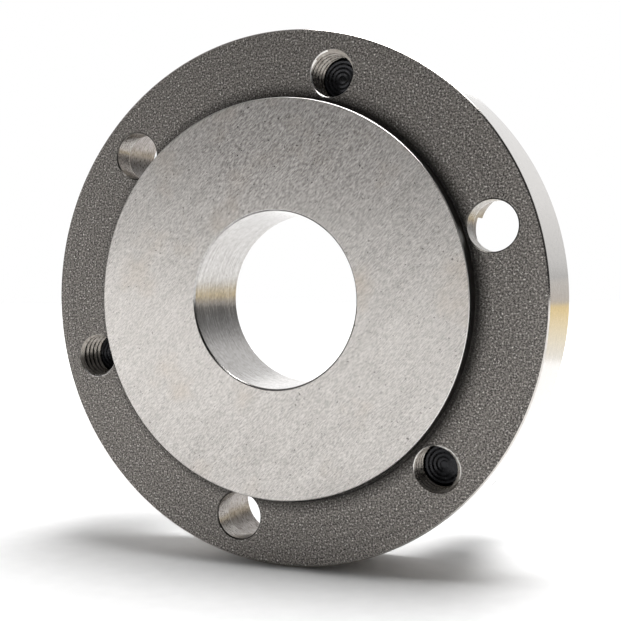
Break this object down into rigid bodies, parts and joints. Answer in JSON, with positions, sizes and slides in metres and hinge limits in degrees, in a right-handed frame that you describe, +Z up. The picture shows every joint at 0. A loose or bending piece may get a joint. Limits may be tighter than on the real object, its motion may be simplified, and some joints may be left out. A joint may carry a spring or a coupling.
{
  "type": "lathe chuck backplate",
  "caption": "Round machined backplate that carries a lathe chuck on a raised register and is drawn onto a flanged spindle nose by studs and nuts.",
  "frame": {"origin": "on the axis, in the plane of the shoulder that the chuck is pulled against", "axes": "+Y along the axis towards the spindle, so the chuck side faces -Y; +Z up and +X to the right seen from the chuck side"},
  "size_m": [0.128, 0.0567, 0.128],
  "materials": {
    "turned_iron": "dark grained shoulder, ground register face, bright turned rim",
    "black_oxide_stud": "black oxide, satin, fine turning rings on the ends",
    "black_oxide_washer": "black oxide, satin",
    "black_oxide_nut": "black oxide, satin"
  },
  "bodies": {
    "plate": {"backplate": "turned_iron", "stud_1": "black_oxide_stud", "stud_2": "black_oxide_stud", "stud_3": "black_oxide_stud"},
    "washer_1": {"washer_1": "black_oxide_washer"},
    "nut_1": {"nut_1": "black_oxide_nut"},
    "washer_2": {"washer_2": "black_oxide_washer"},
    "nut_2": {"nut_2": "black_oxide_nut"},
    "washer_3": {"washer_3": "black_oxide_washer"},
    "nut_3": {"nut_3": "black_oxide_nut"}
  },
  "joints": [
    {"name": "washer_1_slide", "type": "slide", "parent": "plate", "child": "washer_1", "axis": [0, 1, 0], "range_m": [0, 0.01575]},
    {"name": "nut_1_turn", "type": "hinge", "parent": "washer_1", "child": "nut_1", "pos_m": [0.01398, 0.029, 0.05216], "axis": [0, 1, 0], "range_deg": [0, 3240]},
    {"name": "washer_2_slide", "type": "slide", "parent": "plate", "child": "washer_2", "axis": [0, 1, 0], "range_m": [0, 0.01575]},
    {"name": "nut_2_turn", "type": "hinge", "parent": "washer_2", "child": "nut_2", "pos_m": [-0.05216, 0.029, -0.01398], "axis": [0, 1, 0], "range_deg": [0, 3240]},
    {"name": "washer_3_slide", "type": "slide", "parent": "plate", "child": "washer_3", "axis": [0, 1, 0], "range_m": [0, 0.01575]},
    {"name": "nut_3_turn", "type": "hinge", "parent": "washer_3", "child": "nut_3", "pos_m": [0.03818, 0.029, -0.03818], "axis": [0, 1, 0], "range_deg": [0, 3240]}
  ],
  "couplings": [
    {"joint": "washer_1_slide", "follows": "nut_1_turn", "m_per_rad": 0.00027852},
    {"joint": "washer_2_slide", "follows": "nut_2_turn", "m_per_rad": 0.00027852},
    {"joint": "washer_3_slide", "follows": "nut_3_turn", "m_per_rad": 0.00027852}
  ]
}
